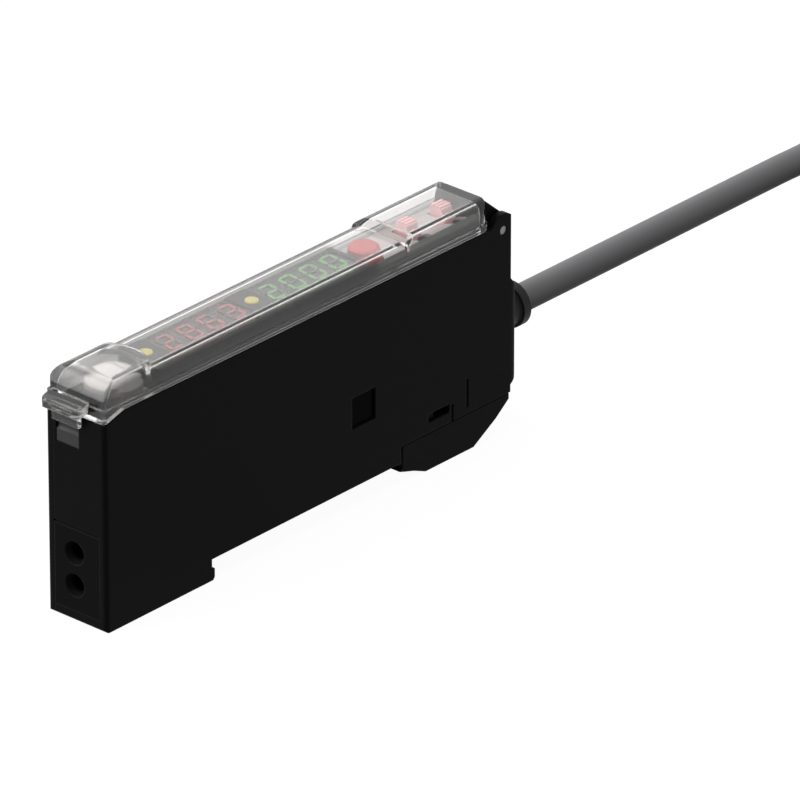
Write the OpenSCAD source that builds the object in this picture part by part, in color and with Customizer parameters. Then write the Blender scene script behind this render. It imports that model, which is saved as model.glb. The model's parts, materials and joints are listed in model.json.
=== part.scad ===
// Fibre optic sensor amplifier for a 35 mm rail, in millimetres.
// X runs from the fibre ports to the cable, Y across the body, Z up from the foot.

/* [Body] */
// Width of the housing across the rail
body_w = 10; // [10:0.5:14]
// Length from the fibre port face to the rear wall
body_l = 75.8; // [74:0.2:84]
// Height of the parting line under the dust cover
body_h = 29.8; // [29.4:0.2:34]
// Wall thickness of the housing
wall = 1.2; // [1:0.05:1.3]
// Radius of the upright front edges
edge_r = 0.6; // [0.3:0.1:0.8]
// How far the gland boss stands out of the rear wall
boss_l = 1.6; // [1.2:0.1:2.4]

/* [Rail clip] */
// Length of the foot up to the rail edge
foot_l = 19.3; // [18.6:0.1:20.4]
// Width of the rail seat
rail_w = 35.3; // [35.1:0.1:35.8]
// Depth of the rail notch
notch_h = 3; // [2.7:0.1:3.3]
// Height of the sliding rail latch
latch_h = 5.2; // [5:0.1:5.6]
// Travel of the rail latch
latch_travel = 2.5; // [1.5:0.1:2.8]

/* [Fibre ports] */
// Diameter of the fibre bores
bore_d = 2.3; // [1.4:0.1:2.5]
// Spacing of the two bores
bore_gap = 4.5; // [4.2:0.1:5]
// Height of the lower bore
bore_z = 5; // [4.6:0.1:5.4]
// Length of the port block
port_l = 16; // [14.6:0.2:16.4]
// Height of the top of the port block
port_top = 13.2; // [12.6:0.1:13.6]

/* [Fibre clamp] */
// Forward swing of the clamp lever in degrees
lever_swing = 9; // [6:1:9]
// Throw of the cam from the lever pin
cam_throw = 2; // [1.6:0.1:2.2]
// Width of the lever
lever_w = 5.8; // [5:0.2:6.4]

/* [Dust cover] */
// Height of the cover above the parting line
cover_h = 3.6; // [3.5:0.1:4.6]
// Wall thickness of the cover
cover_t = 1; // [0.8:0.05:1.1]
// Rise of the front dome above the window
dome_rise = 0.7; // [0.3:0.1:1]
// Rise of the rear section above the window
rear_rise = 0.6; // [0.3:0.1:1]
// Reach of the finger tab
tab_l = 2.4; // [1.4:0.1:3]
// Width of the finger tab
tab_w = 6.3; // [5:0.1:7.4]

/* [Displays] */
// Width of each display
display_w = 5.8; // [5.4:0.1:6]
// Height of a digit
digit_h = 4; // [3.4:0.1:4.3]
// Width of a digit
digit_w = 2.5; // [2:0.1:2.7]

/* [Controls] */
// Diameter of the set button
button_d = 4.1; // [3.4:0.1:4.3]
// Travel of the set button
button_travel = 0.4; // [0.2:0.05:0.45]
// Travel of the switch knobs
switch_travel = 2.2; // [1.6:0.1:2.4]

/* [Cable] */
// Diameter of the cable
cable_d = 3.8; // [3.4:0.1:4]
// Diameter of the gland
gland_d = 6.2; // [5.8:0.1:6.6]
// How far the gland stands out of the boss
gland_l = 4.6; // [3.4:0.1:6]
// Turns in each column of the coil
coil_turns = 4; // [3:1:4]
// Straight stretch of the coil
coil_s = 31.4; // [30:0.2:36]
// Length of the stripped leads
lead_l = 16; // [10:0.5:17]

/* [Hidden] */
// running clearance
gap = 0.15;
// half widths: outside, inside, and the rebate under the panel
hw = body_w / 2;
iw = hw - wall;
rw = hw - 0.7;
// side cover joint
split_y = iw;
// inner floors of the foot, the middle and the rear
floor_foot = wall + 0.2;
floor_mid = notch_h + wall + 0.1;
// rail latch and its slot
rail_x = foot_l + rail_w;
latch_x = rail_x + 0.6;
latch_end = body_l - 0.2;
deck_z = latch_h + gap;
neck_top = deck_z + 1.1;
head_top = neck_top + 1.85;
floor_rear = head_top + 1.1;
tongue_x0 = latch_x + 1.9;
slot_x1 = body_l - wall - 0.3;
tongue_x1 = slot_x1 - 2 * latch_travel - 0.3;
tongue_w = 2.2;
head_w = 3.2;
lug_x = tongue_x0 + 3.05;
lug_l = 1.2;
// relief lines beside the latch
relief_w = 0.35;
relief_a = 7.3;
relief_b = 10.2;
relief_h = 4;
// bores
bore_r = bore_d / 2;
bore_y = 0.4;
bores = [bore_z, bore_z + bore_gap];
// lever pin above the port block, cam over the clamp plate
pin_r = 0.8;
cam_r = 2.95;
plate_top = port_top + 0.65;
pin_x = 8.5;
pin_z = plate_top + 0.05 + cam_r;
boss_r = 1.9;
cam_w = 2.2;
clamp_w = 2.35;
stem_x0 = pin_x - 1.3;
stem_x1 = pin_x + 1.5;
pad_x0 = pin_x - 3.6;
pad_nose = pin_x - 5;
pad_r = 3.4;
pad_crown = 5.2;
pad_x1 = pin_x + 1.7;
pad_w = iw - 0.3;
pad_top = body_h + 2.65;
plate_x = pin_x + cam_throw;
plate_lift = cam_throw * lever_swing * PI / 180;
plate_hole = bore_r + 0.11 + plate_lift / 2;
// clamp jaw, hinged behind the cam
jaw_arm = 4.4;
jaw_x = plate_x + jaw_arm;
jaw_z = port_top + 1.25;
jaw_r = 1;
jaw_pin_r = 0.5;
jaw_t = 0.7;
jaw_bottom = floor_foot + 0.8;
jaw_swing = (jaw_z - jaw_bottom) * plate_lift / jaw_arm;
// top of the object, from the boards up
board_t = 1;
panel_t = 1;
panel_z = body_h - panel_t;
display_board_z = panel_z - 3.6;
chip_x = 36;
chip_s = 7;
chip_z = display_board_z - 11.2;
reg_x = body_l - 20.8;
reg_z = display_board_z - 7;
cap_x = [body_l - 15, body_l - 10.4];
cap_z = display_board_z - 4.8;
cap_r = 1.9;
out_x = body_l - 18.8;
out_z = reg_z - 4.2;
header_l = 9;
header_x = body_l - 31.8;
header_h = 2.5;
board_top = display_board_z + board_t;
bezel_z = body_h + 1.9;
face_z = body_h + 1.7;
plate_z = body_h + 0.7;
rim_z = body_h + 1.8;
rim_w = 0.5;
knob_z = body_h + 2.2;
panel_x0 = 11;
panel_x1 = body_l - 3.6;
// main board between the walls
board_y0 = -1.6;
board_y1 = board_y0 + board_t;
// display and control places along the panel, the controls from the rear and the displays between
knob_x = 1.9;
knob_y = 2;
cover_x1 = body_l - 4;
plate_x1 = cover_x1 - 1.15;
mode_x = plate_x1 - 0.5 - knob_x / 2;
polarity_x = mode_x - 6.6;
button_x = polarity_x - 9;
button_y = 0.3;
display_gap = 3.8;
red_x = 15.8;
display_l = (button_x - 3.6 - display_gap - red_x) / 2;
green_x = red_x + display_l + display_gap;
face_y = 0.5;
lamp_x = [13.4, red_x + display_l + display_gap / 2];
// cover levels and hinge
cover_z0 = body_h + gap;
flange_h = 0.9;
cover_top = body_h + cover_h;
dome_top = cover_top + dome_rise;
rear_top = cover_top + rear_rise;
nose_r = dome_top - cover_z0 - flange_h;
dome_r = hw + 1.2;
dome_x = nose_r + 1.4;
step_x = button_x + 2.6;
hinge_x = body_l - 1.5;
hinge_z = body_h - 0.9;
ear_r = 2.3;
barrel_r = 1.2;
hinge_r = 0.6;
ear_y = hw - 1.05;
// dip of the parting line at the front
dip_l = 3.6;
dip_h = 1;
// finger tab, and the catch plate let into the front wall below it
tab_y = 0.9;
tab_r = 1.5;
catch_d = 1;
catch_y = [-0.6, 3.2];
catch_z = [body_h - 5.5, body_h - 2];
// rear corners and long edges of the cover
rear_r = 1.3;
brow_r = 1.6;
// finger grooves in the side cover
groove_x = [26, body_l - 15.8];
groove_l = 5;
groove_h = 2.4;
groove_d = 0.35;
groove_z = body_h - 7.8;
// link window in both sides
window_x = 45.5;
window_z = 11.3;
window_s = 4.4;
// cable
cable_r = cable_d / 2;
cable_z = 14.24;
core_l = 5.8;
core_r = 0.4;
gland_end = body_l + boss_l + gland_l;
coil_in = 3 * cable_d;
coil_out = 5 * cable_d;
coil_x = 162;
coil_y = -14;
tie_t = 0.8;
coil_h = (coil_turns + 1) * cable_d;
coil_top = tie_t + coil_h;
// route of the cable from the housing to the coil
route = [[body_l - 2.4, 0, cable_z], [gland_end, 0, cable_z], [96, 0, cable_z], [110, 0, cable_z],
  [124, 0, cable_z], [138, 0, cable_z], [142, 0.3, cable_z + 0.6], [146.5, 1.1, cable_z + 2.2],
  [151, 2, coil_top - cable_r]];
// end of the cable inside the coil
tail = [[166, -6.45, 2.7], [170, -6.5, 2.6], [174, -6.7, 2.4], [177, -6.9, 2.2], [180, -6.9, 2.2]];
// stripped leads: places in the cable end, places where they lie, and sizes
lead_r = 0.5;
lead_in_y = [0.64, 0.64, -0.64, -0.64];
lead_in_z = [0.64, -0.64, 0.64, -0.64];
lead_out_y = [-0.7, -3.3, -5.9, -8.5];
tip_l = 4;
tip_r = 0.32;
// everything is centred on its length
x_mid = (gland_end - tab_l) / 2;

module place() translate([-x_mid, 0, 0]) children();
module box(x0, x1, y0, y1, z0, z1) translate([x0, y0, z0]) cube([x1 - x0, y1 - y0, z1 - z0]);
module along_y(y0, y1) translate([0, y1, 0]) rotate([90, 0, 0]) linear_extrude(height = y1 - y0) children();
module along_x(x0, x1) translate([x0, 0, 0]) rotate([90, 0, 90]) linear_extrude(height = x1 - x0) children();
module rod_y(x, z, r, y0, y1) translate([x, y0, z]) rotate([-90, 0, 0]) cylinder(r = r, h = y1 - y0, $fn = 48);
module rod_x(x0, x1, y, z, r) translate([x0, y, z]) rotate([0, 90, 0]) cylinder(r = r, h = x1 - x0, $fn = 48);
module rod_z(x, y, z0, z1, r) translate([x, y, z0]) cylinder(r = r, h = z1 - z0, $fn = 48);

// rectangle with its own corner radius at each end
module round_rect(x0, x1, y0, y1, r0, r1) {
  translate([x0 + r0, y0]) square([x1 - x0 - r0 - r1, y1 - y0]);
  translate([x0, y0 + r0]) square([2 * r0, y1 - y0 - 2 * r0]);
  translate([x1 - 2 * r1, y0 + r1]) square([2 * r1, y1 - y0 - 2 * r1]);
  for (y = [y0 + r0, y1 - r0]) translate([x0 + r0, y]) circle(r = r0, $fn = 48);
  for (y = [y0 + r1, y1 - r1]) translate([x1 - r1, y]) circle(r = r1, $fn = 48);
}

function unit(v) = v / norm(v);
function side_of(t) = unit(cross(t, [0, 0, 1]));

// eight-sided tube through the points of a path
module tube(path, r) {
  n = len(path);
  dirs = [for (i = [0 : n - 1]) unit(path[min(i + 1, n - 1)] - path[max(i - 1, 0)])];
  pts = [for (i = [0 : n - 1]) for (k = [0 : 7])
    path[i] + r * (cos(45 * k) * side_of(dirs[i]) + sin(45 * k) * cross(side_of(dirs[i]), dirs[i]))];
  sides = [for (i = [0 : n - 2]) for (k = [0 : 7])
    [8 * i + k, 8 * i + (k + 1) % 8, 8 * i + 8 + (k + 1) % 8, 8 * i + 8 + k]];
  ends = [[for (k = [7 : -1 : 0]) k], [for (k = [0 : 7]) 8 * (n - 1) + k]];
  polyhedron(points = pts, faces = concat(sides, ends), convexity = 4);
}

// side view of the housing: foot, rail notch, latch deck, gland boss, rear wall
module body_profile() {
  b = body_l;
  e = body_l + boss_l;
  polygon([[0.3, 0], [foot_l + 0.2, 0], [foot_l + 0.5, 0.4], [foot_l + 0.5, notch_h - 1.4],
    [foot_l, notch_h - 1.1], [foot_l, notch_h], [rail_x + 0.2, notch_h], [rail_x + 0.2, deck_z],
    [b, deck_z], [b, 6.4], [e - 0.7, 7],
    [e - 0.2, 8.2], [e, 9.6], [e, 18.4], [e - 0.7, 20.3], [b, 21.6], [b, hinge_z - 1.7],
    [b - 3.2, hinge_z - 1.7],
    [b - 3.2, body_h], [dip_l, body_h], [0, body_h - dip_h], [0, 0.3]]);
}

module body_plan() linear_extrude(height = body_h + 9)
  round_rect(0, body_l + boss_l, -hw, hw, edge_r, boss_l - 0.2);

// space inside the shell, open to the side cover and to the top
module body_cavity() {
  polygon([[-1, floor_foot], [foot_l - 0.9, floor_foot], [foot_l - 0.9, floor_mid], [rail_x - 0.5, floor_mid],
    [rail_x - 0.5, floor_rear], [body_l - 1.4, floor_rear], [body_l - 1.4, body_h + 5], [2.4, body_h + 5],
    [2.4, 22], [wall, 20.8], [wall, port_top], [-1, port_top]]);
}

// round ear for the hinge pin, flush with the rear wall
module hinge_ear(y0, y1) difference() {
  union() {
    rod_y(hinge_x, hinge_z, ear_r, y0, y1);
    box(hinge_x - ear_r, body_l, y0, y1, hinge_z - 2.6, hinge_z);
  }
  box(body_l, body_l + ear_r, y0 - 1, y1 + 1, hinge_z - ear_r - 1, hinge_z + ear_r + 1);
}

// rebate that carries the top panel
module panel_rebate() box(panel_x0 - 0.05, panel_x1 + 0.05, -rw - 0.05, rw + 0.05, panel_z, body_h + 5);

// link window in the side wall
module window_hole(y0, y1) box(window_x, window_x + window_s, y0, y1, window_z, window_z + window_s);

module housing() color([0.05, 0.05, 0.05]) {
  difference() {
    union() {
      intersection() {
        along_y(-hw, split_y) body_profile();
        body_plan();
      }
      hinge_ear(-hw, -ear_y);
    }
    difference() {
      along_y(-iw, hw + 1) body_cavity();
      // posts behind the main board and ledges below the display board
      for (p = [[29, chip_z + 3], [48, display_board_z - 3.7], [body_l - 11.8, cable_z]])
        rod_y(p[0], p[1], 1.3, -hw, board_y0);
      for (x = [panel_x0 + 1, panel_x1 - 2.6])
        box(x, x + 1.6, -hw, -iw + 1.4, display_board_z - 3, display_board_z);
    }
    panel_rebate();
    window_hole(-hw - 1, -iw + 1);
    // room for the hinge barrel
    box(hinge_x - 1.7, body_l + 1, -ear_y, hw, hinge_z - 1.75, body_h + 5);
    // seat of the catch plate under the tab
    box(-1, catch_d, catch_y[0], catch_y[1], catch_z[0], catch_z[1]);
    // holes for the hinge pin, the lever pin and the jaw pin
    rod_y(hinge_x, hinge_z, hinge_r, -hw - 1, 0);
    rod_y(pin_x, pin_z, pin_r, -iw - 0.7, -iw + 1);
    rod_y(jaw_x, jaw_z, jaw_pin_r, -iw - 0.7, -iw + 1);
    // latch neck and head
    box(tongue_x0 - gap, slot_x1, -tongue_w - gap, tongue_w + gap, deck_z - 1, neck_top + 0.1);
    box(tongue_x0 - gap, slot_x1, -head_w - gap, head_w + gap, neck_top, head_top);
    // stop slot for the latch lug and the two relief lines by it
    box(lug_x - gap, lug_x + lug_l + gap + latch_travel, -hw - 1, -head_w + 0.2,
      neck_top + 0.35, neck_top + 1.55);
    box(tongue_x0 + relief_a, tongue_x0 + relief_a + relief_w, -hw - 1, -hw + relief_w,
      deck_z - 1, deck_z + 0.6 * relief_h);
    box(tongue_x0 + relief_b, tongue_x0 + relief_b + relief_w, -hw - 1, -hw + relief_w,
      deck_z + 0.9, deck_z + 0.9 + relief_h);
    // cable gland hole
    rod_x(body_l - 2, body_l + boss_l + 1, 0, cable_z, gland_d / 2 - 0.45);
  }
}

module side_cover() color([0.05, 0.05, 0.05]) {
  difference() {
    union() {
      intersection() {
        along_y(split_y, hw) body_profile();
        body_plan();
      }
      hinge_ear(ear_y, hw);
    }
    panel_rebate();
    window_hole(iw - 1, hw + 1);
    box(hinge_x - 1.7, body_l + 1, -hw, ear_y, hinge_z - 1.75, body_h + 5);
    rod_y(hinge_x, hinge_z, hinge_r, 0, hw + 1);
    rod_y(pin_x, pin_z, pin_r, iw - 1, iw + 0.7);
    rod_y(jaw_x, jaw_z, jaw_pin_r, iw - 1, iw + 0.7);
    // finger groove along the joint
    for (x = groove_x) box(x, x + groove_l, hw - groove_d, hw + 1, groove_z, groove_z + groove_h);
  }
}

module port_block() color([0.06, 0.06, 0.065]) {
  difference() {
    along_y(-iw, iw) polygon([[0, floor_foot], [port_l, floor_foot], [port_l, port_top], [0.4, port_top],
      [0, port_top - 0.4]]);
    for (z = bores) {
      rod_x(-1, port_l + 1, bore_y, z, bore_r);
      translate([-0.01, bore_y, z]) rotate([0, 90, 0])
        cylinder(r1 = bore_r + 0.5, r2 = bore_r, h = 0.8, $fn = 48);
    }
    box(plate_x - jaw_t - jaw_swing - gap, plate_x + jaw_t + gap, -clamp_w - gap, clamp_w + gap,
      jaw_bottom - 0.2, port_top + 1);
  }
}

// leaf with two fibre holes below the cam, on an arm from the jaw pin
module clamp_jaw() color([0.72, 0.72, 0.7]) {
  difference() {
    union() {
      box(plate_x - jaw_t, plate_x + jaw_t, -clamp_w, clamp_w, jaw_bottom, plate_top);
      box(plate_x - jaw_t, jaw_x, -clamp_w, clamp_w, port_top + 0.1, plate_top);
      rod_y(jaw_x, jaw_z, jaw_r, -clamp_w, clamp_w);
    }
    for (z = bores) rod_x(plate_x - 2, plate_x + 2, bore_y, z - plate_lift / 2, plate_hole);
    rod_y(jaw_x, jaw_z, jaw_pin_r + 0.05, -clamp_w - 1, clamp_w + 1);
  }
}

module jaw_pin() color([0.75, 0.75, 0.76]) rod_y(jaw_x, jaw_z, jaw_pin_r, -iw - 0.7, iw + 0.7);

module lever_pin() color([0.75, 0.75, 0.76]) rod_y(pin_x, pin_z, pin_r, -iw - 0.7, iw + 0.7);

module clamp_lever() color([0.8, 0.79, 0.76]) {
  lw = lever_w / 2;
  difference() {
    union() {
      rod_y(pin_x, pin_z, boss_r, -lw, lw);
      rod_y(plate_x, pin_z, cam_r, -cam_w, cam_w);
      box(stem_x0, stem_x1, -lw, lw, pin_z, body_h);
      // thumb pad with a crowned top, overhanging the front wall
      intersection() {
        along_y(-pad_w, pad_w) {
          translate([pad_x0, body_h - 1.2]) square([pad_x1 - pad_x0, pad_top - body_h + 2]);
          translate([pad_nose, body_h + 0.7]) square([pad_x1 - pad_nose, pad_top - body_h]);
        }
        translate([pad_nose + pad_r, 0, 0]) cylinder(r = pad_r, h = pad_top + 2, $fn = 96);
        translate([pad_nose + pad_r, 0, pad_top - pad_crown]) sphere(r = pad_crown, $fn = 96);
      }
    }
    rod_y(pin_x, pin_z, pin_r + 0.05, -lw - 1, lw + 1);
    // grip lines across the pad
    for (x = [pad_x0 + 2.5, pad_x0 + 3.7]) box(x, x + 0.4, -pad_w - 1, pad_w + 1, pad_top - 0.5, pad_top + 1);
  }
}

module optic_holder() color([0.1, 0.1, 0.11]) {
  difference() {
    box(port_l, port_l + 5.5, -3, 3, floor_foot + 0.6, port_top - 0.5);
    for (z = bores) {
      rod_x(port_l - 1, port_l + 6, bore_y, z, 0.6);
      rod_x(port_l + 1, port_l + 6, bore_y, z, 1.5);
    }
    // open below the floor step of the housing
    box(foot_l - 1.2, port_l + 6, -4, 4, 0, floor_mid + 0.05);
  }
}

// light emitter or receiver in its holder bore, with two legs along the main board
module optic_part(z) {
  x = port_l + 5.5;
  difference() {
    union() {
      rod_x(port_l + 1.2, x + 0.1, bore_y, z, 1.45);
      rod_x(x, x + 0.8, bore_y, z, 1.9);
    }
    box(foot_l - 1.2, x + 2, -4, 4, 0, floor_mid + 0.05);
  }
  for (s = [-0.65, 0.25]) box(x + 0.7, x + 5.5, board_y1, board_y1 + 0.45, z + s, z + s + 0.4);
}

module emitter() color([0.75, 0.25, 0.25]) optic_part(bores[1]);
module receiver() color([0.2, 0.2, 0.24]) optic_part(bores[0]);
module receiver_shield() color([0.75, 0.76, 0.76])
  box(port_l + 11.6, port_l + 17.6, board_y1, board_y1 + 2.4, floor_mid + 0.5, floor_mid + 8);

module main_board() color([0.05, 0.3, 0.16])
  along_y(board_y0, board_y1) polygon([[port_l + 8.6, floor_mid], [rail_x - 1, floor_mid],
    [rail_x - 1, floor_rear + 0.4],
    [body_l - 5.4, floor_rear + 0.4], [body_l - 5.4, display_board_z], [port_l + 8.6, display_board_z]]);

module processor() color([0.08, 0.08, 0.09]) {
  box(chip_x, chip_x + chip_s, board_y1, board_y1 + 1, chip_z, chip_z + chip_s);
  for (i = [0 : 7]) {
    d = 0.6 + 0.76 * i;
    box(chip_x - 0.8, chip_x + chip_s + 0.8, board_y1, board_y1 + 0.2, chip_z + d, chip_z + d + 0.3);
    box(chip_x + d, chip_x + d + 0.3, board_y1, board_y1 + 0.2, chip_z - 0.8, chip_z + chip_s + 0.8);
  }
}

module regulator() color([0.09, 0.09, 0.1]) {
  box(reg_x, reg_x + 3.4, board_y1, board_y1 + 1.5, reg_z, reg_z + 3.4);
  for (i = [0 : 2])
    box(reg_x + 0.3 + 1.1 * i, reg_x + 0.9 + 1.1 * i, board_y1, board_y1 + 0.3, reg_z - 1.2, reg_z + 0.1);
}

module capacitors() color([0.55, 0.5, 0.3]) {
  for (x = cap_x) {
    rod_y(x, cap_z, cap_r, board_y1 + 0.5, board_y1 + 3.4);
    box(x - cap_r - 0.1, x + cap_r + 0.1, board_y1, board_y1 + 0.6, cap_z - cap_r - 0.1, cap_z + cap_r + 0.1);
  }
}

module output_transistor() color([0.1, 0.1, 0.11]) {
  box(out_x, out_x + 3, board_y1, board_y1 + 1.3, out_z, out_z + 2);
  for (x = [out_x + 0.3, out_x + 2.2]) box(x, x + 0.5, board_y1, board_y1 + 0.3, out_z - 0.9, out_z + 0.1);
  box(out_x + 1.2, out_x + 1.8, board_y1, board_y1 + 0.3, out_z + 1.9, out_z + 2.8);
}

module board_header() color([0.1, 0.1, 0.1])
  box(header_x, header_x + header_l, board_y1, board_y1 + 2, display_board_z - header_h, display_board_z);

module display_board() color([0.05, 0.3, 0.16])
  box(panel_x0 + 1, panel_x1 - 0.8, -iw + 0.4, iw - 0.4, display_board_z, board_top);

module display_case(x) box(x, x + display_l, face_y - display_w / 2, face_y + display_w / 2, board_top, face_z);

// one bar of a digit, pointed at both ends
module bar(l, w) polygon([[-l / 2, 0], [-l / 2 + w / 2, w / 2], [l / 2 - w / 2, w / 2], [l / 2, 0],
  [l / 2 - w / 2, -w / 2], [-l / 2 + w / 2, -w / 2]]);

// four digits of seven bars, read from the near side
module digit_rows(x) {
  pitch = display_l / 4;
  w = 0.5;
  v = digit_h / 2;
  h = digit_w / 2;
  translate([x, face_y, face_z]) linear_extrude(height = 0.12)
  for (i = [0 : 3]) translate([pitch * (i + 0.5), 0]) {
    for (y = [-v, 0, v]) translate([0, y * (1 - w / digit_h)]) bar(digit_w - 0.75, w);
    for (sx = [-1, 1]) for (y = [-v / 2, v / 2])
      translate([sx * (h - w / 2), y * (1 - w / digit_h)]) rotate([0, 0, 90]) bar(v - 0.4, w);
  }
}

module red_display() color([0.16, 0.05, 0.05]) display_case(red_x);
module red_digits() color([0.9, 0.15, 0.12]) digit_rows(red_x);
module green_display() color([0.06, 0.13, 0.07]) display_case(green_x);
module green_digits() color([0.4, 0.85, 0.3]) digit_rows(green_x);

module lamp(x) {
  rod_z(x, face_y, board_top, face_z + 0.35, 0.9);
  box(x - 1.1, x + 1.1, face_y - 1.1, face_y + 1.1, board_top, board_top + 0.8);
}

module output_lamp() color([0.95, 0.75, 0.1]) lamp(lamp_x[0]);
module channel_lamp() color([0.95, 0.75, 0.1]) lamp(lamp_x[1]);

// openings for the button and the two knobs, as wide as asked
module control_holes(z0, z1, g) {
  rod_z(button_x, button_y, z0, z1, button_d / 2 + g);
  for (x = [polarity_x, mode_x])
    box(x - knob_x / 2 - g, x + knob_x / 2 + g,
      -(knob_y + switch_travel) / 2 - g, (knob_y + switch_travel) / 2 + g, z0, z1);
}

module top_panel() color([0.13, 0.13, 0.14]) {
  difference() {
    union() {
      box(panel_x0, panel_x1, -rw, rw, panel_z, body_h);
      box(panel_x0 + 0.6, green_x + display_l + 0.8, -iw + 0.3, iw - 0.3, body_h - 0.1, bezel_z);
      // rim along the near side of the controls
      box(green_x + display_l + 0.7, plate_x1, -iw + 0.3, -iw + 0.3 + rim_w, body_h - 0.1, rim_z);
    }
    for (x = [red_x, green_x])
      box(x - 0.1, x + display_l + 0.1, face_y - display_w / 2 - 0.1, face_y + display_w / 2 + 0.1,
        panel_z - 1, bezel_z + 1);
    for (x = lamp_x) rod_z(x, face_y, panel_z - 1, bezel_z + 1, 0.95);
    control_holes(panel_z - 1, bezel_z + 1, gap);
  }
}

module control_plate() color([0.78, 0.76, 0.75]) {
  difference() {
    box(green_x + display_l + 0.9, plate_x1, -iw + 0.4 + rim_w, iw - 0.2, body_h, plate_z);
    control_holes(body_h - 1, plate_z + 1, gap + 0.15);
  }
}

module set_switch() color([0.7, 0.7, 0.68]) {
  box(button_x - 2.1, button_x + 2.1, button_y - 2.1, button_y + 2.1, board_top, board_top + 0.9);
  rod_z(button_x, button_y, board_top + 0.8, panel_z - 0.95 - button_travel, 1);
}

module set_button() color([0.85, 0.12, 0.14]) {
  r = button_d / 2;
  rod_z(button_x, button_y, panel_z - 0.9, panel_z - gap, r + 0.45);
  rod_z(button_x, button_y, panel_z - 0.2, knob_z - 0.25, r);
  translate([button_x, button_y, knob_z - 0.25]) cylinder(r1 = r, r2 = r - 0.3, h = 0.25, $fn = 48);
}

// slide switch body on the display board; its knob runs along Y
module switch_body() {
  l = knob_y + switch_travel + 1;
  box(-knob_x / 2 - 0.9, knob_x / 2 + 0.9, -l / 2, l / 2, board_top, panel_z - 0.9);
}

module switch_knob() {
  box(-knob_x / 2 - 0.5, knob_x / 2 + 0.5, -knob_y / 2 - 0.4, knob_y / 2 + 0.4, panel_z - 0.75, panel_z - gap);
  box(-knob_x / 2, knob_x / 2, -knob_y / 2, knob_y / 2, panel_z - 0.2, knob_z - 0.3);
  for (y = [-0.6, 0, 0.6]) box(-knob_x / 2, knob_x / 2, y - 0.2, y + 0.2, knob_z - 0.4, knob_z);
}

module polarity_switch() color([0.88, 0.87, 0.85]) translate([polarity_x, 0, 0]) switch_body();
module polarity_knob() color([0.92, 0.55, 0.54]) translate([polarity_x, switch_travel / 2, 0]) switch_knob();
module mode_switch() color([0.88, 0.87, 0.85]) translate([mode_x, 0, 0]) switch_body();
module mode_knob() color([0.92, 0.55, 0.54]) translate([mode_x, switch_travel / 2, 0]) switch_knob();

// cross-section of the cover up to a top, and the plan of its rear corners
module brow(top, g) round_rect(-hw + 0.25 + g, hw - 0.25 - g, body_h - 3, top - g, brow_r - g, brow_r - g);
module rear_plan(x1, g) linear_extrude(height = rear_top + 1)
  round_rect(0, x1 - g, -hw + 0.25 + g, hw - 0.25 - g, 0.1, rear_r - g);

// outside of the cover above its flange: three levels and a round nose
module cover_solid(g) {
  z0 = cover_z0 + flange_h - 2;
  r = nose_r - g;
  x1 = cover_x1;
  intersection() {
    along_y(-hw, hw) translate([nose_r + 0.2, z0]) square([x1 - nose_r - 0.2 - g, cover_top - g - z0]);
    along_x(0, x1) brow(cover_top, g);
    rear_plan(x1, g);
  }
  intersection() {
    along_y(-hw, hw) polygon([[step_x + g, z0], [step_x + g, cover_top - g], [step_x + 1.4 + g, rear_top - g],
      [x1 - g, rear_top - g], [x1 - g, z0]]);
    along_x(0, x1) brow(rear_top, g);
    rear_plan(x1, g);
  }
  intersection() {
    along_y(-hw, hw) {
      translate([0.2 + g, z0]) square([dome_x + dome_r, dome_top - nose_r - z0]);
      translate([nose_r + 0.2, z0]) square([dome_x + dome_r, dome_top - g - z0]);
      translate([nose_r + 0.2, dome_top - nose_r]) circle(r = r, $fn = 96);
    }
    linear_extrude(height = dome_top + 1) translate([dome_x, 0]) circle(r = dome_r - g, $fn = 96);
    along_x(0, dome_x + dome_r + 1) brow(dome_top, g);
  }
}

module dust_cover() color([0.45, 0.45, 0.46, 0.5]) {
  x1 = cover_x1;
  difference() {
    union() {
      difference() {
        cover_solid(0);
        box(-5, body_l + 5, -hw - 1, hw + 1, 0, cover_z0);
      }
      // flange along the parting line
      translate([0, 0, cover_z0]) linear_extrude(height = flange_h)
        round_rect(0, x1 + 0.2, -hw, hw, edge_r, rear_r);
      // front skirt down to the dip of the parting line
      intersection() {
        along_y(-hw, hw) polygon([[0, cover_z0 - dip_h], [dip_l, cover_z0], [dip_l, cover_z0 + 0.3],
          [0, cover_z0 + 0.3]]);
        body_plan();
      }
      // finger tab and the tongue below it
      intersection() {
        along_y(-hw, hw) polygon([[0.6, cover_z0], [-tab_l + 0.5, cover_z0 - 0.5], [-tab_l, cover_z0 - 0.1],
          [-tab_l + 0.2, cover_z0 + 0.7], [0.4, cover_z0 + 1.3], [0.9, cover_z0 + 1.2]]);
        linear_extrude(height = dome_top)
          round_rect(-tab_l - 0.1, 1.4, tab_y - tab_w / 2, tab_y + tab_w / 2, tab_r, 0.1);
      }
      along_y(tab_y - tab_w / 2 + 1, tab_y + tab_w / 2 - 1) polygon([[-0.95, cover_z0], [-0.95, cover_z0 - 2.2],
        [-0.7, cover_z0 - 2.4], [-gap, cover_z0 - 2.4], [-gap, cover_z0]]);
    }
    intersection() {
      cover_solid(cover_t);
      box(-5, x1 - 0.9, -hw, hw, 0, rear_top + 2);
    }
    arm_tongue();
  }
}

// plate that the tongue of the cover clicks over, with a groove for its lip
module cover_catch() color([0.2, 0.2, 0.2]) difference() {
  box(0.05, catch_d, catch_y[0], catch_y[1], catch_z[0], catch_z[1]);
  rod_y(-0.35, catch_z[1] - 1.2, 0.7, catch_y[0] - 1, catch_y[1] + 1);
}

// tongue of the hinge arm in the rear wall of the cover
module arm_tongue() box(cover_x1 - 0.5, cover_x1 + 0.1, -2.4, 2.4, cover_z0 + 1.4, rear_top - 1.3);

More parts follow.
